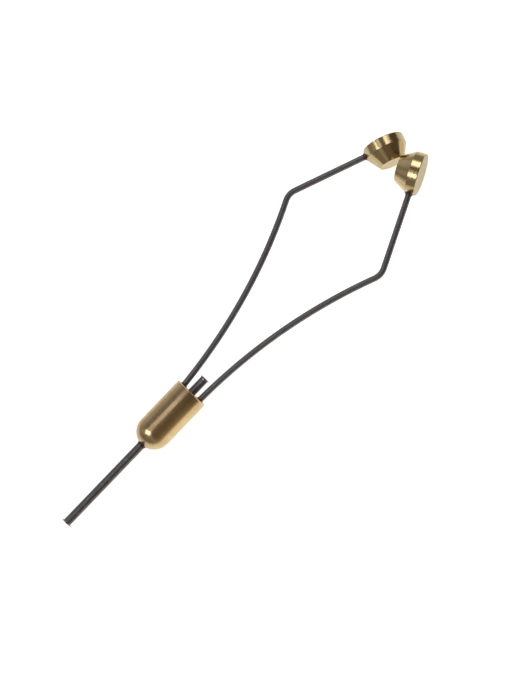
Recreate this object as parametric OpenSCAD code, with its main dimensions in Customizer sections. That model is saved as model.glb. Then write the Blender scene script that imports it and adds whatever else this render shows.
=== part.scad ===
// Bobbin holder for fly tying: a turned body, a thread tube through it and two sprung wire arms.
// The tool lies flat with its arms in the XY plane. +X runs along the tube towards its tip.
// The origin is the centre of the body's rear face, where the arms come out.
// Left is +Y, seen from above by someone who looks along +X.

/* [Body] */
// Diameter of the turned body
body_d = 8; // [7:0.5:12]
// Length of the body's straight part, from the rear face to the round nose
body_straight = 12; // [9:0.5:24]
// Chamfer round the rear face
rear_chamfer = 0.2; // [0.1:0.05:0.4]

/* [Thread tube] */
// Outer diameter of the tube
tube_d = 1.9; // [1.6:0.1:2.2]
// Bore of the tube, for the thread
tube_bore = 1.3; // [0.8:0.1:1.4]
// Length of tube in front of the nose
tube_front = 24; // [12:0.5:40]
// Length of tube behind the rear face
tube_rear = 4.3; // [2:0.1:8]
// Diameter of the flared lip at the tip
tip_lip_d = 3; // [2.5:0.1:3.4]
// Diameter of the flared lip at the rear
rear_lip_d = 2.8; // [2.3:0.1:3]
// Length over which the tip flares out
tip_flare = 0.35; // [0.2:0.05:1]
// Length over which the rear end flares out
rear_flare = 0.6; // [0.2:0.05:1]
// Thickness of the flared lips at their edge
lip_edge = 0.12; // [0.08:0.02:0.2]
// Radial room between the tube and the body
tube_room = 0.02; // [0.01:0.01:0.04]

/* [Arms] */
// Diameter of the spring wire
wire_d = 1.4; // [1:0.1:1.5]
// Distance from the tube's axis to the middle of each wire, in the body
wire_offset = 2.5; // [2.3:0.05:2.8]
// Depth of each wire in the body
wire_depth = 8; // [4:0.5:10]
// Radius of the long outward bow
bow_r = 128.5; // [100:0.5:170]
// Angle that the bow turns through
bow_angle = 21.1; // [16:0.1:25]
// Radius of the elbow, at the middle of the wire
elbow_r = 3.75; // [2.5:0.25:6]
// Angle that the left elbow turns back through
left_elbow_angle = 47.7; // [40:0.1:54]
// Angle that the right elbow turns back through
right_elbow_angle = 47; // [40:0.1:54]
// Length of straight wire between the elbow and the foot
leg_length = 17.4; // [13:0.1:24]
// Depth of each wire in its foot
grip_depth = 3; // [2:0.25:4]
// Radial room for adhesive round each wire
glue_room = 0.03; // [0.02:0.01:0.05]

/* [Feet] */
// Diameter of each foot's rim
foot_d = 9.6; // [8.5:0.1:12]
// Diameter of the small flat face
face_d = 5.9; // [4.5:0.1:7]
// Height of the rim band
band_h = 2.2; // [1.8:0.1:3]
// Height of the cone
cone_h = 3.2; // [2.4:0.1:4.5]
// Height of the wire's middle above the large flat face
wire_height = 1.3; // [1:0.1:1.4]
// Chamfer on the rim's outer edge
rim_chamfer = 0.12; // [0.05:0.01:0.2]
// Distance to the right of the tube's axis at which the feet meet
meeting_offset = 2.4; // [0:0.1:4]
// Height of the left foot above the tool's middle plane, and depth of the right foot below it
foot_step = 1.2; // [0:0.1:1.5]
// Gap between the feet at rest
meeting_gap = 0.1; // [0.06:0.02:0.3]

/* [Adhesive] */
// Width of the bead round the tube at the nose
nose_bead_w = 0.15; // [0.1:0.05:0.5]
// Height of the bead in front of the nose
nose_bead_h = 0.3; // [0.2:0.05:0.8]
// Width of the bead round each wire at the body
root_bead_w = 0.3; // [0.2:0.05:0.6]
// Height of the bead at the body
root_bead_h = 0.25; // [0.2:0.05:0.8]
// Width of the bead round each wire at its foot
foot_bead_w = 0.35; // [0.2:0.05:0.8]
// Height of the bead above the foot's rim
foot_bead_h = 0.45; // [0.3:0.05:0.9]

/* [Hidden] */

// Values of side for the two arms
LEFT = 1;
RIGHT = -1;

BRASS = [0.78, 0.66, 0.40];
DARK_STEEL = [0.25, 0.25, 0.26];
TUBE_STEEL = [0.20, 0.19, 0.19];
GLUE = [0.27, 0.13, 0.10];

// Smoothness of large and small round shapes
large_fn = 96;
small_fn = 32;
// Points along each flare
flare_steps = 6;
// How far a cutter reaches past what it cuts
past = 1;
// How thick a bead still is at its feathered edge
bead_edge = 0.05;
// A ball this much larger than the wire in radius joins each two stretches of it
ball_extra = 0.01;
// How far short of the ball's middle each stretch stops
seam = 0.02;

body_r = body_d / 2;
tube_r = tube_d / 2;
bore_r = tube_bore / 2;
foot_r = foot_d / 2;
tube_hole_r = tube_r + tube_room;
wire_hole_r = wire_d / 2 + glue_room;
nose_x = body_straight + body_r;
tip_x = nose_x + tube_front;

// Shape of an arm, laid out from the hole's mouth along +X with outward as +Y
function heading(a) = [cos(a), sin(a)];
function inward(a) = [sin(a), -cos(a)];
bow_end = bow_r * [sin(bow_angle), 1 - cos(bow_angle)];
function elbow_angle(side) = side == LEFT ? left_elbow_angle : right_elbow_angle;
function lean(side) = bow_angle - elbow_angle(side);
function elbow_end(side) = bow_end + elbow_r * (inward(bow_angle) - inward(lean(side)));
function foot_centre(side) = elbow_end(side) + (leg_length + foot_r) * heading(lean(side));

// The edges of the two small faces meet in the tool's middle plane, this far along each face from its middle
face_height = band_h + cone_h - wire_height;
touch_reach = sqrt(pow(face_d / 2, 2) - pow(foot_step, 2));
function touch(side) = foot_centre(side) + face_height * inward(lean(side)) + touch_reach * heading(lean(side));

// Each arm leaves the body at the angle that lets its foot just reach the meeting line
function touch_y(side) = meeting_gap / 2 - side * meeting_offset;
function splay(side) = asin((touch_y(side) - wire_offset) / norm(touch(side))) - atan2(touch(side).y, touch(side).x);

// The left arm leans a little up and the right one down, so the feet sit above and below the middle plane
function lift(side) = side * asin(foot_step / norm(foot_centre(side)));

// How far a bead of radius r sinks behind the foremost point of a round wall, to meet it all round
function sink(wall_r, r) = wall_r - sqrt(pow(wall_r, 2) - pow(r, 2));
nose_bead_sink = sink(body_r, tube_hole_r + nose_bead_w) + bead_edge;
foot_bead_sink = sink(foot_r, wire_hole_r + foot_bead_w) + rim_chamfer;

// Outline of a flare, from the straight tube at t = 0 to the lip at t = 1
function flare(from_r, to_r, t) = from_r + (to_r - from_r) * (1 - sqrt(1 - pow(t, 2)));

module along_x() {
    rotate([0, 90, 0])
        children();
}

// Puts an arm's own layout at its hole's mouth
module at_mouth(side) {
    translate([0, side * wire_offset, 0])
        mirror([1, 0, 0])
            if (side == LEFT)
                children();
            else
                mirror([0, 1, 0]) children();
}

// A straight stretch of wire between two distances along +X
module straight(from, to) {
    translate([from, 0, 0])
        along_x() cylinder(d = wire_d, h = to - from, $fn = small_fn);
}

// A bend that starts at the origin along +X, turning left for a positive angle
module bend(r, turn) {
    trim = seam / r * 180 / PI;
    start = turn > 0 ? trim - 90 : trim + 90 + turn;
    translate([0, sign(turn) * r, 0])
        rotate([0, 0, start])
            rotate_extrude(angle = abs(turn) - 2 * trim, $fn = large_fn)
                translate([r, 0])
                    circle(d = wire_d, $fn = small_fn);
}

// Joins two stretches of wire, with its poles inside them
module ball() {
    along_x() sphere(r = wire_d / 2 + ball_extra, $fn = small_fn);
}

// Moves its children to the far end of such a bend
module past_bend(r, turn) {
    translate([r * sin(abs(turn)), sign(turn) * r * (1 - cos(turn)), 0])
        rotate([0, 0, turn])
            children();
}

// Turns its children the way the wire leaves the body
module leaving(side) {
    rotate([0, -lift(side), splay(side)])
        children();
}

module past_bow(side) {
    leaving(side)
        past_bend(bow_r, bow_angle)
            children();
}

module past_elbow(side) {
    past_bow(side)
        past_bend(elbow_r, -elbow_angle(side))
            children();
}

// Puts a foot on the wire's line, with its axis pointing inward as +Z
module at_foot(side) {
    past_elbow(side)
        translate([leg_length + foot_r, 0, 0])
            rotate([90, 0, 0])
                children();
}

module arm(side) {
    color(DARK_STEEL)
        at_mouth(side) {
            straight(-wire_depth, -seam);
            ball();
            leaving(side) bend(bow_r, bow_angle);
            past_bow(side) {
                ball();
                bend(elbow_r, -elbow_angle(side));
            }
            past_elbow(side) {
                ball();
                straight(seam, leg_length + grip_depth);
            }
        }
}

// The socket that a wire's end is glued into, from the origin along +X
module wire_socket(depth) {
    along_x() cylinder(r = wire_hole_r, h = depth + glue_room, $fn = small_fn);
}

module body_blank() {
    along_x() {
        cylinder(r1 = body_r - rear_chamfer, r2 = body_r, h = rear_chamfer, $fn = large_fn);
        translate([0, 0, rear_chamfer])
            cylinder(r = body_r, h = body_straight - rear_chamfer, $fn = large_fn);
        translate([0, 0, body_straight])
            intersection() {
                sphere(r = body_r, $fn = large_fn);
                translate([-body_d, -body_d, 0])
                    cube([2 * body_d, 2 * body_d, body_d]);
            }
    }
}

module body() {
    color(BRASS)
        difference() {
            body_blank();
            translate([-past, 0, 0])
                along_x() cylinder(r = tube_hole_r, h = nose_x + 2 * past, $fn = small_fn);
            for (side = [LEFT, RIGHT])
                at_mouth(side)
                    translate([past, 0, 0])
                        mirror([1, 0, 0])
                            wire_socket(past + wire_depth);
        }
}

module thread_tube() {
    tip = [for (i = [0:flare_steps]) i / flare_steps];
    outer_tip = [for (t = tip) [flare(tube_r, tip_lip_d / 2, t), tip_x - tip_flare * (1 - t)]];
    inner_tip = [for (t = tip) [flare(bore_r, tip_lip_d / 2 - lip_edge, t), tip_x - tip_flare * (1 - t)]];
    outer_rear = [for (t = tip) [flare(tube_r, rear_lip_d / 2, t), rear_flare * (1 - t) - tube_rear]];
    inner_rear = [for (t = tip) [flare(bore_r, rear_lip_d / 2 - lip_edge, t), rear_flare * (1 - t) - tube_rear]];
    color(TUBE_STEEL)
        along_x()
            rotate_extrude($fn = large_fn)
                polygon(concat(outer_tip, reverse(inner_tip), inner_rear, reverse(outer_rear)));
}

function reverse(list) = [for (i = [len(list) - 1:-1:0]) list[i]];

module foot_blank() {
    translate([0, 0, -wire_height])
        rotate_extrude($fn = large_fn)
            polygon([
                [0, 0],
                [foot_r - rim_chamfer, 0],
                [foot_r, rim_chamfer],
                [foot_r, band_h],
                [face_d / 2, band_h + cone_h],
                [0, band_h + cone_h],
            ]);
}

module foot(side) {
    color(BRASS)
        at_mouth(side)
            difference() {
                at_foot(side) foot_blank();
                past_elbow(side)
                    translate([leg_length - past, 0, 0])
                        wire_socket(past + grip_depth);
            }
}

// A bead from inner_r outward: its full width w from z = -depth to 0, then hollowed in to a thin edge at z = h
module bead(inner_r, w, depth, h) {
    rotate_extrude($fn = small_fn)
        polygon([
            [inner_r, -depth],
            [inner_r + w, -depth],
            [inner_r + w, 0],
            [inner_r + bead_edge + (w - bead_edge) / 3, h / 3],
            [inner_r + bead_edge, h],
            [inner_r, h],
        ]);
}

module nose_glue() {
    color(GLUE)
        difference() {
            translate([nose_x, 0, 0])
                along_x() bead(tube_hole_r, nose_bead_w, nose_bead_sink, nose_bead_h);
            body_blank();
        }
}

module root_glue(side) {
    color(GLUE)
        intersection() {
            at_mouth(side)
                leaving(side)
                    along_x() bead(wire_hole_r, root_bead_w, past, root_bead_h);
            translate([-root_bead_h - past, 0, 0])
                along_x() cylinder(r = body_r - rear_chamfer, h = root_bead_h + past, $fn = large_fn);
        }
}

module foot_glue(side) {
    color(GLUE)
        at_mouth(side)
            difference() {
                past_elbow(side)
                    translate([leg_length, 0, 0])
                        mirror([1, 0, 0])
                            along_x() bead(wire_hole_r, foot_bead_w, foot_bead_sink, foot_bead_h);
                at_foot(side) foot_blank();
            }
}

body();
thread_tube();
arm(LEFT);  // left_arm
arm(RIGHT);  // right_arm
foot(LEFT);  // left_foot
foot(RIGHT);  // right_foot
nose_glue();
foot_glue(LEFT);  // left_foot_glue
foot_glue(RIGHT);  // right_foot_glue
root_glue(LEFT);  // left_root_glue
root_glue(RIGHT);  // right_root_glue
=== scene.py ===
"""Looks of a bobbin holder for fly tying.

Turned brass, dark spring wire, a flared steel tube and set adhesive.
"""
import math

import bmesh
import bpy
from mathutils import Matrix, Vector


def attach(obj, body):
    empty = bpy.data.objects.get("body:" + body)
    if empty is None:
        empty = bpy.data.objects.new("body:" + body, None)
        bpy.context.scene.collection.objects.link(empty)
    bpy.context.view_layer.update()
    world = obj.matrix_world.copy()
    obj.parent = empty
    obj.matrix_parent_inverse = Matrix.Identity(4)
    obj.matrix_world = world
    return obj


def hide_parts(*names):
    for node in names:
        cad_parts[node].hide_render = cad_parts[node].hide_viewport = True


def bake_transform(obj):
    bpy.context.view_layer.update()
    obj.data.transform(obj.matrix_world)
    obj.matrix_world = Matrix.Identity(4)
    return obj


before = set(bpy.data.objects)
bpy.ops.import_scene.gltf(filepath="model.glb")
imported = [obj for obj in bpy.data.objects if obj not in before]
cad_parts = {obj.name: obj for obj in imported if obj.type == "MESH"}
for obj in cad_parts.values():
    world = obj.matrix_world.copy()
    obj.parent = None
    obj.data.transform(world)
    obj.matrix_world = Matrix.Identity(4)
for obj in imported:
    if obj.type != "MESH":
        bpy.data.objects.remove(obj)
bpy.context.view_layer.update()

MM = 0.001
LEFT, RIGHT = 1, -1
SIDES = {LEFT: "left", RIGHT: "right"}

# Sizes in millimetres and angles in degrees, as in the part's source
BODY_R, BODY_STRAIGHT, REAR_CHAMFER = 4.0, 12.0, 0.2
TUBE_R, BORE_R, TUBE_ROOM = 0.95, 0.65, 0.02
TUBE_REAR, TIP_X, TIP_FLARE, REAR_FLARE = -4.3, 40.0, 0.35, 0.6
TIP_LIP_R, REAR_LIP_R, LIP_EDGE = 1.5, 1.4, 0.12
WIRE_R, WIRE_OFFSET, WIRE_DEPTH, GLUE_ROOM = 0.7, 2.5, 8.0, 0.03
BOW_R, BOW_ANGLE, ELBOW_R, ELBOW_ANGLE = 128.5, 21.1, 3.75, {LEFT: 47.7, RIGHT: 47.0}
LEG, GRIP = 17.4, 3.0
FOOT_R, FACE_R, BAND_H, CONE_H, WIRE_H, RIM_CHAMFER = 4.8, 2.95, 2.2, 3.2, 1.3, 0.12
MEETING_OFFSET, MEETING_GAP, FOOT_STEP = 2.4, 0.1, 1.2
HOLE_R = TUBE_R + TUBE_ROOM
FACE_H = BAND_H + CONE_H - WIRE_H

# Sizes that only the looks have, in millimetres: how far edges are softened, how close to its edges a foot's
# face is held flat, how far outside the body a drill starts, and how deep in its hole a wire lies along it
BODY_EDGE, LIP_ROUND, FOOT_EDGE, FOOT_EDGE_ROOM = 0.05, 0.025, 0.045, 0.065
DRILL_SPARE, SQUARE_AT = 1.0, 0.4

# Beads of adhesive, in millimetres: how thick their upper edge is, and how near their base and hole they are
# still even. Then where they begin: off the wire, inside the tube's hole, and out from the body's rear.
BEAD_EDGE, BEAD_EVEN = 0.04, 0.01
OFF_WIRE, INSIDE_HOLE, OUT_FROM_BODY = 0.004, 0.015, 0.03

# Faces that meet at less than this, in degrees, are shaded as one
SMOOTH_BELOW, BEAD_SMOOTH_BELOW = 35, 60


def heading(a):
    """The way a wire runs, in its arm's own layout, when it has turned outwards by a degrees."""
    return Vector((math.cos(math.radians(a)), math.sin(math.radians(a)), 0))


def inward(a):
    """The way from such a wire towards the tool's middle, square to it."""
    return Vector((math.sin(math.radians(a)), -math.cos(math.radians(a)), 0))


# The arm's own layout: from the hole's mouth along +X, outward as +Y
BOW_END = BOW_R * Vector((math.sin(math.radians(BOW_ANGLE)), 1 - math.cos(math.radians(BOW_ANGLE)), 0))


def lean(side):
    """How far the straight leg is turned outwards, in degrees."""
    return BOW_ANGLE - ELBOW_ANGLE[side]


def elbow_end(side):
    return BOW_END + ELBOW_R * (inward(BOW_ANGLE) - inward(lean(side)))


def foot_centre(side):
    """Where the wire's line crosses the foot's axis."""
    return elbow_end(side) + (LEG + FOOT_R) * heading(lean(side))


def splay(side):
    """The angle at which an arm leaves the body, so that the two feet just meet."""
    along_face = math.sqrt(FACE_R ** 2 - FOOT_STEP ** 2) * heading(lean(side))
    touch = foot_centre(side) + FACE_H * inward(lean(side)) + along_face
    touch_y = MEETING_GAP / 2 - side * MEETING_OFFSET
    return math.asin((touch_y - WIRE_OFFSET) / touch.length) - math.atan2(touch.y, touch.x)


def lift(side):
    """The angle at which an arm leaves the tool's middle plane."""
    return side * math.asin(FOOT_STEP / foot_centre(side).length)


def at_mouth(side):
    """Takes an arm's own layout, without splay and lift, to that arm's place on the tool, in metres."""
    flip = Matrix.Diagonal((-MM, side * MM, MM, 1))
    return Matrix.Translation((0, side * WIRE_OFFSET * MM, 0)) @ flip


def on_arm(side):
    """Takes an arm's own layout to that arm's place on the tool, in metres."""
    return at_mouth(side) @ Matrix.Rotation(splay(side), 4, "Z") @ Matrix.Rotation(-lift(side), 4, "Y")


# Camera, at the angle of the photograph, in millimetres
ROLL = math.radians(12.6)
RIGHT_ALONG, RIGHT_ACROSS = -0.6927, 0.7212
DISTANCE, PIXEL = 481.5, 0.221
TO_CAMERA = Vector((0, math.sin(ROLL), math.cos(ROLL)))
ALONG = Vector((1, 0, 0))
ACROSS = TO_CAMERA.cross(ALONG)
PICTURE_RIGHT = (RIGHT_ALONG * ALONG + RIGHT_ACROSS * ACROSS).normalized()
PICTURE_UP = TO_CAMERA.cross(PICTURE_RIGHT)
AIM = Vector((-17.9, 3.38, 0)) + PIXEL / 2 * (PICTURE_UP - PICTURE_RIGHT)


def place_camera():
    data = bpy.data.cameras.new("photo_camera")
    data.sensor_fit = "VERTICAL"
    data.sensor_height = 36
    data.lens = 114
    data.clip_start, data.clip_end = 0.01, 20
    camera = bpy.data.objects.new("photo_camera", data)
    bpy.context.scene.collection.objects.link(camera)
    turned = Matrix((PICTURE_RIGHT, PICTURE_UP, TO_CAMERA)).transposed().to_4x4()
    camera.matrix_world = Matrix.Translation((AIM + DISTANCE * TO_CAMERA) * MM) @ turned
    bpy.context.scene.camera = camera


# Finishes. Noise is in waves a metre, and the relief of a bump in metres.
BRIGHT_BRASS, DULL_BRASS = (0.72, 0.55, 0.30, 1), (0.56, 0.40, 0.19, 1)
BRIGHT_FOOT, DULL_FOOT = (0.71, 0.565, 0.30, 1), (0.54, 0.41, 0.19, 1)
BRASS_PIT = (0.30, 0.20, 0.09, 1)
DARK_WIRE, RUBBED_WIRE = (0.195, 0.195, 0.207, 1), (0.38, 0.38, 0.395, 1)
DARK_TUBE, RUBBED_TUBE = (0.185, 0.175, 0.187, 1), (0.40, 0.380, 0.395, 1)
TUBE_LIP = (0.36, 0.35, 0.35, 1)
THICK_GLUE, THIN_GLUE = (0.030, 0.008, 0.009, 1), (0.10, 0.020, 0.015, 1)
THICK_NOSE_GLUE, THIN_NOSE_GLUE = (0.02, 0.016, 0.017, 1), (0.05, 0.036, 0.035, 1)
BRASS_RELIEF, STEEL_RELIEF, GLUE_RELIEF = 0.000001, 0.000010, 0.00002
RADIUS_SHARE = 1.37


class Value:
    """A socket of a finish, with the arithmetic that finishes need."""

    def __init__(self, finish, socket):
        self.finish, self.socket = finish, socket

    def math(self, operation, *others):
        return self.finish.node("ShaderNodeMath", {"operation": operation}, dict(enumerate((self, *others))))

    def __add__(self, other):
        return self.math("ADD", other)

    def __mul__(self, other):
        return self.math("MULTIPLY", other)

    def __sub__(self, other):
        return self.math("SUBTRACT", other)

    def __rsub__(self, other):
        return self.finish.node("ShaderNodeMath", {"operation": "SUBTRACT"}, {0: other, 1: self})

    __radd__, __rmul__ = __add__, __mul__


class Finish:
    """The finish of one material, or of the world round the tool, built node by node."""

    def __init__(self, holder):
        self.holder = holder
        holder.use_nodes = True
        self.tree = holder.node_tree
        self.tree.nodes.clear()

    def node(self, kind, settings=None, inputs=None, out=0):
        """Adds a node: its settings first, then the values or links of its sockets."""
        made = self.tree.nodes.new(kind)
        for key, value in (settings or {}).items():
            if key == "stops":
                ramp = made.color_ramp
                while len(ramp.elements) < len(value):
                    ramp.elements.new(1.0)
                for stop, (at, colour) in zip(ramp.elements, value):
                    stop.position, stop.color = at, (*colour, 1)
            else:
                setattr(made, key, value)
        for key, value in (inputs or {}).items():
            if isinstance(value, Value):
                self.tree.links.new(value.socket, made.inputs[key])
            else:
                made.inputs[key].default_value = value
        return Value(self, made.outputs[out]) if made.outputs else None

    def place(self):
        """Where a point is on its piece, at rest."""
        return self.node("ShaderNodeTexCoord", out="Object")

    def parts(self, vector):
        """The three numbers of a vector."""
        return [self.node("ShaderNodeSeparateXYZ", {}, {0: vector}, out=i) for i in range(3)]

    def vector(self, operation, a, b, out="Vector"):
        return self.node("ShaderNodeVectorMath", {"operation": operation}, {0: a, 1: b}, out)

    def noise(self, where, scale, detail=2.0, roughness=0.5):
        inputs = {"Vector": where, "Scale": scale, "Detail": detail, "Roughness": roughness}
        return self.node("ShaderNodeTexNoise", {"noise_dimensions": "3D"}, inputs)

    def line_noise(self, where, scale, detail=2.0, roughness=0.5):
        """Noise that changes along one number only."""
        inputs = {"W": where, "Scale": scale, "Detail": detail, "Roughness": roughness}
        return self.node("ShaderNodeTexNoise", {"noise_dimensions": "1D"}, inputs)

    def between(self, value, low, high):
        """0 up to low and 1 from high on, with a soft step between. High may also be the smaller number."""
        inputs = {"Value": value, "From Min": low, "From Max": high}
        return self.node("ShaderNodeMapRange", {"interpolation_type": "SMOOTHSTEP"}, inputs)

    def area(self, x, y, west, east, south, north, edge):
        """1 inside a rectangle, with soft edges."""
        columns = self.between(x, west - edge, west + edge) - self.between(x, east - edge, east + edge)
        rows = self.between(y, south - edge, south + edge) - self.between(y, north - edge, north + edge)
        return columns * rows

    def ramp(self, value, low, high, stops):
        """Colours along a value, from the first stop at low to the last at high."""
        share = self.node("ShaderNodeMapRange", {}, {"Value": value, "From Min": low, "From Max": high})
        return self.node("ShaderNodeValToRGB", {"stops": stops}, {0: share})

    def mix(self, share, a, b):
        """Colour a where share is 0 and b where it is 1."""
        return self.node("ShaderNodeMix", {"data_type": "RGBA"}, {0: share, 6: a, 7: b}, out=2)

    def bump(self, height, relief):
        """A height from 0 to 1 over the relief."""
        return self.node("ShaderNodeBump", {}, {"Height": height, "Distance": relief, "Strength": 1.0})

    def finish(self, **inputs):
        """Closes a material with its shader, and gives the material."""
        sockets = {key.replace("_", " "): value for key, value in inputs.items()}
        shader = self.node("ShaderNodeBsdfPrincipled", {}, sockets)
        self.node("ShaderNodeOutputMaterial", {}, {"Surface": shader})
        return self.holder


def new_finish(name):
    return Finish(bpy.data.materials.new(name))


def grey(v):
    return (v, v, v, 1)


def turned_brass(name, centre, axis, bright, dull, rough, marks, dents):
    """Brass turned about an axis: fine tool marks round it, hairlines, small pits and slight tarnish."""
    f = new_finish(name)
    place = f.place()
    from_centre = f.vector("SUBTRACT", place, tuple(centre))
    along = f.vector("DOT_PRODUCT", from_centre, tuple(axis), out="Value")
    axial = f.node("ShaderNodeVectorMath", {"operation": "SCALE"}, {0: tuple(axis), "Scale": along})
    away = f.vector("SUBTRACT", from_centre, axial)
    radius = f.node("ShaderNodeVectorMath", {"operation": "LENGTH"}, {0: away}, out="Value")
    # Marks run round the axis on a cylinder, a cone and a flat face alike
    turning = along + radius * RADIUS_SHARE
    tool_marks = f.line_noise(turning, 9000.0, 3.0, 0.6)
    feed = f.line_noise(turning, 900.0, 1.0)
    cloud = f.noise(place, 260.0, 3.0, 0.55)
    fine = f.noise(place, 2600.0, 2.0, 0.6)
    pits = f.between(f.noise(place, 1500.0, 1.0), 0.70, 0.78)
    tarnish = (f.between(cloud, 0.38, 0.72) * 0.5
               + f.between(feed, 0.45, 0.8) * 0.22
               + f.between(fine, 0.45, 0.8) * 0.3)
    colour = f.mix(tarnish.math("MINIMUM", 1.0), bright, dull)
    colour = f.mix(pits * 0.5, colour, BRASS_PIT)
    roughness = rough + f.between(cloud, 0.3, 0.8) * 0.06 + feed * 0.04 + pits * 0.15
    height = tool_marks * marks + fine * dents - pits * 0.8
    return f.finish(Base_Color=colour, Metallic=1.0, Roughness=roughness, Normal=f.bump(height, BRASS_RELIEF))


def dark_wire(name):
    """Spring wire with a dark oxide skin: drawn marks along it, mottled and rubbed a little paler in places."""
    f = new_finish(name)
    drawn = f.node("ShaderNodeAttribute",
                   {"attribute_type": "GEOMETRY", "attribute_name": "drawn"}, out="Vector")
    streaks = f.noise(f.vector("MULTIPLY", drawn, (5.0, 5.0, 160.0)), 1.0, 3.0, 0.6)
    mottle = f.noise(f.vector("MULTIPLY", drawn, (1.6, 1.6, 1100.0)), 1.0, 3.0, 0.65)
    grain = f.noise(f.vector("MULTIPLY", drawn, (4.0, 4.0, 4200.0)), 1.0, 2.0, 0.6)
    rubbed = (f.between(mottle, 0.5, 0.72) * 0.5
              + f.between(streaks, 0.5, 0.75) * 0.25
              + f.between(grain, 0.5, 0.75) * 0.25)
    return f.finish(Base_Color=f.mix(rubbed, DARK_WIRE, RUBBED_WIRE),
                    Metallic=0.75 + rubbed * 0.25,
                    Roughness=0.30 - rubbed * 0.08 + grain * 0.08,
                    Normal=f.bump(streaks * 0.5 + grain * 0.5, STEEL_RELIEF))


def dark_tube(name):
    """The thread tube: dark steel, drawn lengthwise, with lips rubbed bright."""
    f = new_finish(name)
    place = f.place()
    streaks = f.noise(f.vector("MULTIPLY", place, (250.0, 4200.0, 4200.0)), 1.0, 3.0, 0.6)
    mottle = f.noise(place, 900.0, 3.0, 0.6)
    grain = f.noise(place, 3600.0, 2.0, 0.6)
    _, y, z = f.parts(place)
    radius = (y * y + z * z).math("SQRT")
    lip = f.between(radius, (TUBE_R + 0.001) * MM, (TUBE_R + 0.03) * MM)
    rubbed = (f.between(mottle, 0.5, 0.72) * 0.45
              + f.between(streaks, 0.5, 0.75) * 0.25
              + f.between(grain, 0.5, 0.75) * 0.3)
    colour = f.mix(rubbed, DARK_TUBE, RUBBED_TUBE)
    return f.finish(Base_Color=f.mix(lip, colour, TUBE_LIP),
                    Metallic=0.8 + lip * 0.2,
                    Roughness=0.30 - lip * 0.20 + mottle * 0.06,
                    Normal=f.bump(streaks * 0.5 + grain * 0.5, STEEL_RELIEF))


def set_adhesive(name, thick, thin):
    """Dark adhesive, set hard and glossy, uneven in thickness and so in colour."""
    f = new_finish(name)
    place = f.place()
    cloud = f.noise(place, 1600.0, 2.0)
    return f.finish(Base_Color=f.mix(f.between(cloud, 0.35, 0.7), thick, thin),
                    Roughness=0.05 + cloud * 0.12, Coat_Weight=0.4,
                    Normal=f.bump(f.noise(place, 3200.0, 2.0), GLUE_RELIEF))


# Shapes

def put(bm, matrix):
    bmesh.ops.transform(bm, matrix=matrix, verts=bm.verts)


def finished(name, bm, material, slot, body, *nodes, smooth=SMOOTH_BELOW):
    """Makes a piece of a bmesh that is in place in metres, and lets it stand for its CAD nodes."""
    bmesh.ops.remove_doubles(bm, verts=bm.verts, dist=0.0000005)
    bmesh.ops.recalc_face_normals(bm, faces=bm.faces)
    mesh = bpy.data.meshes.new(name)
    bm.to_mesh(mesh)
    bm.free()
    mesh.polygons.foreach_set("use_smooth", [True] * len(mesh.polygons))
    mesh.set_sharp_from_angle(angle=math.radians(smooth))
    mesh.materials.append(material)
    piece = bpy.data.objects.new(name, mesh)
    bpy.context.scene.collection.objects.link(piece)
    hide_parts(*nodes)
    if body:
        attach(piece, body)
    return piece


def outline(*points):
    """A bmesh that holds a closed outline to turn, from its points along the axis and away from it."""
    bm = bmesh.new()
    verts = [bm.verts.new((x, r, 0)) for x, r in points]
    for a, b in zip(verts, verts[1:] + verts[:1]):
        bm.edges.new((a, b))
    return bm


def held_flat(corners, room):
    """The corners of an outline, with a point close to each end of every long side.

    These points keep its face flat up to a softened edge.
    """
    points = [corners[0]]
    for a, b in zip(map(Vector, corners), map(Vector, corners[1:])):
        if (b - a).length > 5 * room:
            step = (b - a).normalized() * room
            points += [tuple(a + step), tuple(b - step)]
        points.append(tuple(b))
    return points


def turn(bm, steps):
    """Turns an outline once round +X."""
    geom = bm.verts[:] + bm.edges[:]
    bmesh.ops.spin(bm, geom=geom, cent=(0, 0, 0), axis=(1, 0, 0), angle=math.tau, steps=steps, use_merge=True)
    bmesh.ops.remove_doubles(bm, verts=bm.verts, dist=0.0001)
    bmesh.ops.recalc_face_normals(bm, faces=bm.faces)


def soften(bm, least, width, segments):
    """Rounds the edges where two faces meet at more than the least angle."""
    sharp = [e for e in bm.edges if len(e.link_faces) == 2 and e.calc_face_angle() > math.radians(least)]
    bmesh.ops.bevel(bm, geom=sharp, offset=width, offset_type="OFFSET", affect="EDGES",
                    segments=segments, profile=0.5, clamp_overlap=True, material=-1)


def arc(centre_x, radius, start, end, steps):
    """Points of an arc round a point of the axis, with its angles measured from +X."""
    angles = [math.radians(start + (end - start) * i / steps) for i in range(steps + 1)]
    return [(centre_x + radius * math.cos(a), radius * math.sin(a)) for a in angles]


def make_body(material):
    """The turned body, with its through hole and the two holes that the wires are glued into."""
    meets_hole = math.degrees(math.asin(HOLE_R / BODY_R))
    nose = arc(BODY_STRAIGHT, BODY_R, 90, meets_hole, 24)
    bm = outline((0, HOLE_R), (0, BODY_R - REAR_CHAMFER), (REAR_CHAMFER, BODY_R),
                 (BODY_STRAIGHT / 2, BODY_R), *nose)
    turn(bm, 128)
    soften(bm, 30, BODY_EDGE, 2)
    put(bm, Matrix.Scale(MM, 4))
    body = finished("brass_body", bm, material, "brass", None, "body")
    for side in SIDES:
        drill = bmesh.new()
        bmesh.ops.create_cone(drill, cap_ends=True, segments=48, radius1=(WIRE_R + GLUE_ROOM) * MM,
                              radius2=(WIRE_R + GLUE_ROOM) * MM, depth=(WIRE_DEPTH + DRILL_SPARE) * MM)
        middle = ((WIRE_DEPTH - DRILL_SPARE) / 2 * MM, side * WIRE_OFFSET * MM, 0)
        put(drill, Matrix.Translation(middle) @ Matrix.Rotation(math.pi / 2, 4, "Y"))
        cut_out(body, drill)
    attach(body, "handle")


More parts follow.
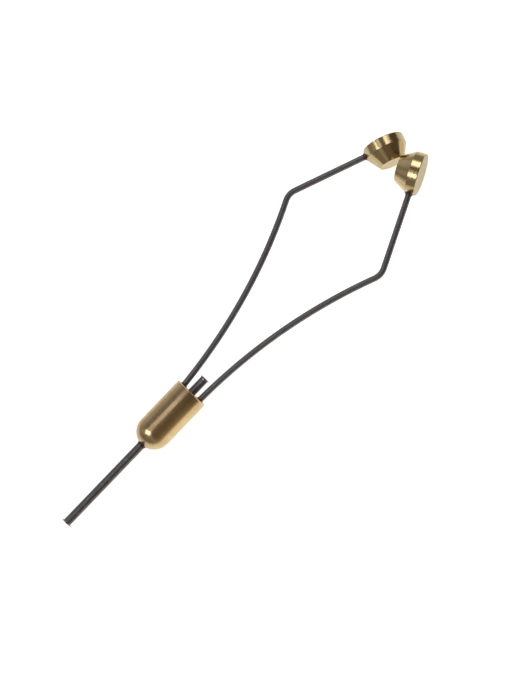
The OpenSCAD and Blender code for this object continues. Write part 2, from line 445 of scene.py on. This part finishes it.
def cut_out(piece, bm):
    """Cuts a bmesh out of a piece for good."""
    mesh = bpy.data.meshes.new("drill")
    bm.to_mesh(mesh)
    bm.free()
    tool = bpy.data.objects.new("drill", mesh)
    bpy.context.scene.collection.objects.link(tool)
    cut = piece.modifiers.new("drill", "BOOLEAN")
    cut.operation, cut.solver, cut.object = "DIFFERENCE", "EXACT", tool
    bpy.context.view_layer.update()
    shaped = bpy.data.meshes.new_from_object(piece.evaluated_get(bpy.context.evaluated_depsgraph_get()))
    piece.modifiers.remove(cut)
    old, piece.data = piece.data, shaped
    bpy.data.meshes.remove(old)
    bpy.data.objects.remove(tool)
    bpy.data.meshes.remove(mesh)
    piece.data.set_sharp_from_angle(angle=math.radians(SMOOTH_BELOW))


def bell(from_r, lip_r, end, flare):
    """Points of a bell's outline, from its root out to its lip."""
    shares = [i / 10 for i in range(11)]
    return [(end - flare * (1 - t), from_r + (lip_r - from_r) * (1 - math.sqrt(1 - t * t)))
            for t in shares]


def make_tube(material):
    """The thread tube, belled out to a thin lip at each end."""
    outside = bell(TUBE_R, TIP_LIP_R, TIP_X, TIP_FLARE)
    inside = bell(BORE_R, TIP_LIP_R - LIP_EDGE, TIP_X, TIP_FLARE)
    rear_outside = bell(TUBE_R, REAR_LIP_R, TUBE_REAR, -REAR_FLARE)
    rear_inside = bell(BORE_R, REAR_LIP_R - LIP_EDGE, TUBE_REAR, -REAR_FLARE)
    bm = outline(*outside, *reversed(inside), *rear_inside, *reversed(rear_outside))
    turn(bm, 72)
    soften(bm, 50, LIP_ROUND, 2)
    put(bm, Matrix.Scale(MM, 4))
    finished("flared_tube", bm, material, "tube_steel", "handle", "thread_tube")


def ring_verts(edges):
    return list(dict.fromkeys(v for e in edges for v in e.verts))


def make_wire(side, material):
    """One wire from its end in the body to its end in the foot, bent step by step."""
    name = SIDES[side]
    bm = bmesh.new()
    drawn = bm.verts.layers.float_vector.new("drawn")
    mouth = bmesh.ops.create_circle(bm, segments=28, radius=WIRE_R)["verts"]
    bmesh.ops.transform(bm, matrix=Matrix.Rotation(math.pi / 2, 4, "Y"), verts=mouth)
    for v in mouth:
        v[drawn] = (v.co.y / WIRE_R, v.co.z / WIRE_R, 0)
    mouth_edges = bm.edges[:]

    def marked(verts, length):
        """Tells the new verts how far along the wire they are."""
        for v in verts:
            v[drawn] = (v[drawn][0], v[drawn][1], length * MM)

    def straight(edges, way, length, pieces, start):
        """Draws the wire on along a line, and gives the edges at its end."""
        for i in range(pieces):
            new = bmesh.ops.extrude_edge_only(bm, edges=edges)["geom"]
            verts = [g for g in new if isinstance(g, bmesh.types.BMVert)]
            edges = [g for g in new if isinstance(g, bmesh.types.BMEdge) and all(v in verts for v in g.verts)]
            bmesh.ops.translate(bm, vec=way * length / pieces, verts=verts)
            marked(verts, start + length * (i + 1) / pieces)
        return edges

    def bent(edges, centre, radius, angle, steps, start):
        """Draws the wire on round a bend, and gives the edges at its end."""
        for i in range(steps):
            new = bmesh.ops.spin(bm, geom=ring_verts(edges) + edges, cent=centre, axis=(0, 0, 1),
                                 angle=angle / steps, steps=1)["geom_last"]
            edges = [g for g in new if isinstance(g, bmesh.types.BMEdge)]
            marked(ring_verts(edges), start + radius * abs(angle) * (i + 1) / steps)
        return edges

    bow, elbow = math.radians(BOW_ANGLE), math.radians(ELBOW_ANGLE[side])
    to_elbow = BOW_R * bow
    to_leg = to_elbow + ELBOW_R * elbow
    edges = bent(mouth_edges, (0, BOW_R, 0), BOW_R, bow, 72, 0)
    edges = bent(edges, BOW_END + ELBOW_R * inward(BOW_ANGLE), ELBOW_R, -elbow, 20, to_elbow)
    edges = straight(edges, heading(lean(side)), LEG + GRIP, 8, to_leg)
    bmesh.ops.contextual_create(bm, geom=edges)
    put(bm, on_arm(side))

    # The end in the body lies along its hole
    hole = straight(mouth_edges, Vector((SQUARE_AT * MM, 0, 0)), 1.0, 1, 0)
    centre = Vector((SQUARE_AT, side * WIRE_OFFSET, 0)) * MM
    square = (at_mouth(side) @ on_arm(side).inverted()).to_3x3()
    bmesh.ops.rotate(bm, cent=centre, matrix=square, verts=ring_verts(hole))
    marked(ring_verts(hole), -SQUARE_AT)
    hole = straight(hole, Vector((MM, 0, 0)), WIRE_DEPTH - SQUARE_AT, 4, -SQUARE_AT)
    bmesh.ops.contextual_create(bm, geom=hole)
    arm = finished(f"{name}_spring_wire", bm, material, "spring_wire", None, f"{name}_arm")
    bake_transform(arm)


def foot_matrix(side):
    """Takes a shape turned about +X, with X pointing inward from the wire's line, to that foot's place."""
    across = Matrix((inward(lean(side)), heading(lean(side)), Vector((0, 0, 1)))).transposed().to_4x4()
    return on_arm(side) @ Matrix.Translation(foot_centre(side)) @ across


def make_foot(side, material):
    """A turned foot: rim band, cone and small face, with lathe-soft edges and a faced back."""
    name = SIDES[side]
    corners = ((-WIRE_H, 0), (-WIRE_H, FOOT_R - RIM_CHAMFER), (-WIRE_H + RIM_CHAMFER, FOOT_R),
               (BAND_H - WIRE_H, FOOT_R), (FACE_H, FACE_R), (FACE_H, 0))
    bm = outline(*held_flat(corners, FOOT_EDGE_ROOM))
    turn(bm, 128)
    soften(bm, 25, FOOT_EDGE, 3)
    put(bm, foot_matrix(side))
    finished(f"{name}_brass_foot", bm, material, "brass", f"{name}_spring_arm", f"{name}_foot")


def make_bead(name, node, body, matrix, material, inner_r, width, depth, height, swell, seed):
    """A bead of adhesive round something straight, hollowed towards its edge and never quite even."""
    edge = inner_r + BEAD_EDGE
    climb = [(height * (1 - math.cos(a)), edge + (width - BEAD_EDGE) * (1 - math.sin(a)))
             for a in map(math.radians, range(0, 91, 15))]
    bm = outline((-depth, inner_r), (-depth, inner_r + width), *climb, (height, inner_r))
    turn(bm, 48)
    for v in bm.verts:
        out = Vector((0, v.co.y, v.co.z)).length
        if v.co.x > -depth + BEAD_EVEN and out > inner_r + BEAD_EVEN:
            a = math.atan2(v.co.z, v.co.y)
            uneven = (math.sin(2 * a + seed) * 0.6
                      + math.sin(3 * a + 2.1 * seed) * 0.3
                      + math.sin(5 * a - seed) * 0.15)
            grown = inner_r + (out - inner_r) * (1 + swell * uneven)
            v.co.y, v.co.z = v.co.y * grown / out, v.co.z * grown / out
            if v.co.x > 0:
                v.co.x = v.co.x * (1 + swell * uneven)
    put(bm, matrix)
    finished(name, bm, material, "adhesive", body, node, smooth=BEAD_SMOOTH_BELOW)


def make_beads(material, nose_material):
    nose = Matrix.Scale(MM, 4) @ Matrix.Translation((BODY_STRAIGHT + BODY_R, 0, 0))
    make_bead("nose_adhesive", "nose_glue", "handle", nose, nose_material, HOLE_R - INSIDE_HOLE,
              width=0.17, depth=0.2, height=0.3, swell=0.15, seed=1.0)
    for side, name in SIDES.items():
        root = on_arm(side) @ Matrix.Translation((OUT_FROM_BODY, 0, 0))
        make_bead(f"{name}_root_adhesive", f"{name}_root_glue", "handle", root, material, WIRE_R + OFF_WIRE,
                  width=0.32, depth=0.3, height=0.25, swell=0.16, seed=2.0 * side)
        foot = on_arm(side) @ Matrix.Translation(elbow_end(side) + LEG * heading(lean(side)))
        foot = foot @ Matrix.Rotation(math.radians(lean(side)) + math.pi, 4, "Z")
        make_bead(f"{name}_foot_adhesive", f"{name}_foot_glue", f"{name}_spring_arm", foot, material,
                  WIRE_R + OFF_WIRE, width=0.38, depth=0.2, height=0.45, swell=0.14, seed=0.7 * side)


# Studio. How far the table lies below the tube's axis under the body's front, how far it falls from there to
# the right foot and over what length, and how far above it the reflected table lies, in millimetres.
TABLE_BELOW, TABLE_FALL, TABLE_RUN, SHEET_ABOVE = 4.02, 1.9, 81.0, 0.02

# How pale the table and the reflected table are, and how much light they give off
TABLE_PAINT, TABLE_GLOW = 0.86, 0.84
SHEET_PAINT, SHEET_GLOW = 0.84, 0.56

# The light of the reflected table, across it from 0.1 m on the right of the tool to 0.1 m on its left
TABLE_ACROSS = (
    (0.0, (0.44, 0.44, 0.44)), (0.30, (0.53, 0.53, 0.53)), (0.42, (0.85, 0.85, 0.85)),
    (0.455, (0.87, 0.87, 0.87)), (0.48, (0.98, 0.98, 0.98)), (0.53, (1.16, 1.15, 1.12)),
    (0.60, (1.12, 1.08, 1.01)), (1.0, (0.92, 0.88, 0.78)))

# The share of it that is left, along the table from 0.25 m behind the body's rear end to 0.1 m in front
TABLE_ALONG = (
    (0.0, 0.47), (0.41, 0.68), (0.46, 0.85), (0.49, 1.0), (0.75, 1.0),
    (0.77, 0.92), (0.80, 0.82), (0.86, 0.68), (1.0, 0.62))

# And the share that is left where the tool's shade is painted onto the reflected table
IN_SHADE = (0.74, 0.74, 0.69)

# The room that the metal sees, from its horizon up to its ceiling, on its left side and on its right
LEFT_ROOM = (
    (0.0, (0.50, 0.46, 0.36)), (0.10, (0.36, 0.31, 0.23)), (0.22, (0.27, 0.23, 0.15)),
    (0.5, (0.19, 0.155, 0.10)), (0.8, (0.13, 0.10, 0.072)), (1.0, (0.15, 0.12, 0.10)))
RIGHT_ROOM = (
    (0.0, (0.24, 0.23, 0.24)), (0.42, (0.22, 0.215, 0.215)),
    (0.65, (0.20, 0.19, 0.19)), (1.0, (0.15, 0.12, 0.10)))
RIGHT_WALL, DARK_CORNER = (0.44, 0.41, 0.41, 1), (0.092, 0.070, 0.066, 1)
FRONT_WALL, FRONT_CURTAIN = (0.20, 0.185, 0.17, 1), (0.31, 0.285, 0.27, 1)


def softbox(name, middle, size, radiance, colour=(1.0, 0.99, 0.98), turned=0):
    """A rectangular soft lamp that hangs level above the table.

    Its middle and size are in metres, its radiance is that of its face, and it is turned by degrees.
    """
    data = bpy.data.lights.new(name, "AREA")
    data.shape, data.size, data.size_y = "RECTANGLE", *size
    data.energy = radiance * math.pi * size[0] * size[1]
    data.color = colour
    light = bpy.data.objects.new(name, data)
    bpy.context.scene.collection.objects.link(light)
    light.location, light.rotation_euler.z = middle, math.radians(turned)
    light.visible_camera = False


def on_the_table(name, above, material):
    """A sheet that lies as the table does: under the body's front and the right foot."""
    bm = bmesh.new()
    bmesh.ops.create_grid(bm, x_segments=8, y_segments=8, size=3.0)
    slope = math.atan2(TABLE_FALL, TABLE_RUN)
    front = Matrix.Translation((BODY_STRAIGHT * MM, 0, (above - TABLE_BELOW) * MM))
    put(bm, front @ Matrix.Rotation(-slope, 4, "Y"))
    mesh = bpy.data.meshes.new(name)
    bm.to_mesh(mesh)
    bm.free()
    mesh.materials.append(material)
    sheet = bpy.data.objects.new(name, mesh)
    bpy.context.scene.collection.objects.link(sheet)
    return sheet


def reflection_sheet():
    """What the metal sees of the table.

    It glows brightest on the tool's left, and dims to the right, far behind and in front.
    The tool's shade is both cast on it by the lamps and painted into it, by the left foot and by the bow.
    """
    f = new_finish("reflected_table")
    x, y, _ = f.parts(f.place())
    glow = f.ramp(y, -0.1, 0.1, TABLE_ACROSS)
    left_over = f.ramp(x, -0.25, 0.1, [(at, (share, share, share)) for at, share in TABLE_ALONG])
    glow = f.vector("MULTIPLY", glow, left_over)
    # Painted shade of the tool on the reflected table: under the left foot and between the arms by the bow
    painted_shade_by_foot = f.area(x, y, -0.090, -0.064, 0.0, 0.014, edge=0.003)
    painted_shade_by_bow = f.area(x, y, -0.054, -0.024, -0.006, 0.020, edge=0.004)
    glow = f.mix(painted_shade_by_foot + painted_shade_by_bow, glow, f.vector("MULTIPLY", glow, IN_SHADE))
    f.finish(Base_Color=f.vector("MULTIPLY", glow, (SHEET_PAINT, SHEET_PAINT, SHEET_PAINT)), Roughness=1.0,
             Specular_IOR_Level=0.0, Emission_Color=glow, Emission_Strength=SHEET_GLOW)
    sheet = on_the_table("reflected_table", SHEET_ABOVE, f.holder)
    sheet.visible_camera = sheet.visible_diffuse = sheet.visible_shadow = False
    sheet.visible_transmission = sheet.visible_volume_scatter = False


def set_studio():
    """A pale table and soft lamps."""
    f = new_finish("pale_table")
    table = f.finish(Base_Color=grey(TABLE_PAINT), Roughness=0.9,
                     Emission_Color=grey(1.0), Emission_Strength=TABLE_GLOW)
    on_the_table("table", 0, table)
    reflection_sheet()
    softbox("tip_lamp", (0.475, -0.225, 0.80), (0.37, 0.62), 2.9, turned=20)
    softbox("foot_lamp", (-0.666, -0.408, 0.80), (0.66, 0.656), 2.1)
    softbox("body_fill", (0.003, -0.086, 0.26), (0.08, 0.135), 0.66, (0.97, 0.98, 1.12))
    bpy.context.scene.view_settings.view_transform = "Standard"


def set_room():
    """A dim room round the table, that only the metal sees, behind a white backdrop for the camera."""
    world = bpy.data.worlds.new("dim_room")
    f = Finish(world)
    x, y, z = f.parts(f.node("ShaderNodeTexCoord", out="Generated"))
    left, right = f.ramp(z, 0, 1, LEFT_ROOM), f.ramp(z, 0, 1, RIGHT_ROOM)
    right = f.mix(f.between(y, -0.84, -1.0), right, RIGHT_WALL)
    colour = f.mix(f.between(y, 0.15, -0.15), left, right)
    colour = f.mix(f.between(x, 0.0, -0.28) * f.between(y, -0.35, 0.0), colour, DARK_CORNER)
    colour = f.mix(f.between(x, 0.45, 0.85), colour, FRONT_WALL)
    colour = f.mix(f.between(x, 0.42, 0.58) - f.between(x, 0.68, 0.80), colour, FRONT_CURTAIN)
    room = f.node("ShaderNodeBackground", {}, {"Color": colour})
    backdrop = f.node("ShaderNodeBackground", {}, {"Color": grey(1.0)})
    seen = f.node("ShaderNodeLightPath", out="Is Camera Ray")
    both = f.node("ShaderNodeMixShader", {}, {0: seen, 1: room, 2: backdrop})
    f.node("ShaderNodeOutputWorld", {}, {"Surface": both})
    bpy.context.scene.world = world


place_camera()
set_studio()
set_room()

wire = dark_wire("dark_spring_wire")
adhesive = set_adhesive("set_adhesive", THICK_GLUE, THIN_GLUE)
make_body(turned_brass("body_brass", (0, 0, 0), (1, 0, 0), BRIGHT_BRASS, DULL_BRASS,
                       rough=0.18, marks=5.0, dents=8.0))
make_tube(dark_tube("dark_tube_steel"))
for side, name in SIDES.items():
    make_wire(side, wire)
    foot = foot_matrix(side)
    axis = (foot.to_3x3() @ Vector((1, 0, 0))).normalized()
    make_foot(side, turned_brass(f"{name}_foot_brass", foot.translation, axis, BRIGHT_FOOT, DULL_FOOT,
                                 rough=0.12, marks=7.0, dents=1.5))
make_beads(adhesive, set_adhesive("nose_adhesive", THICK_NOSE_GLUE, THIN_NOSE_GLUE))
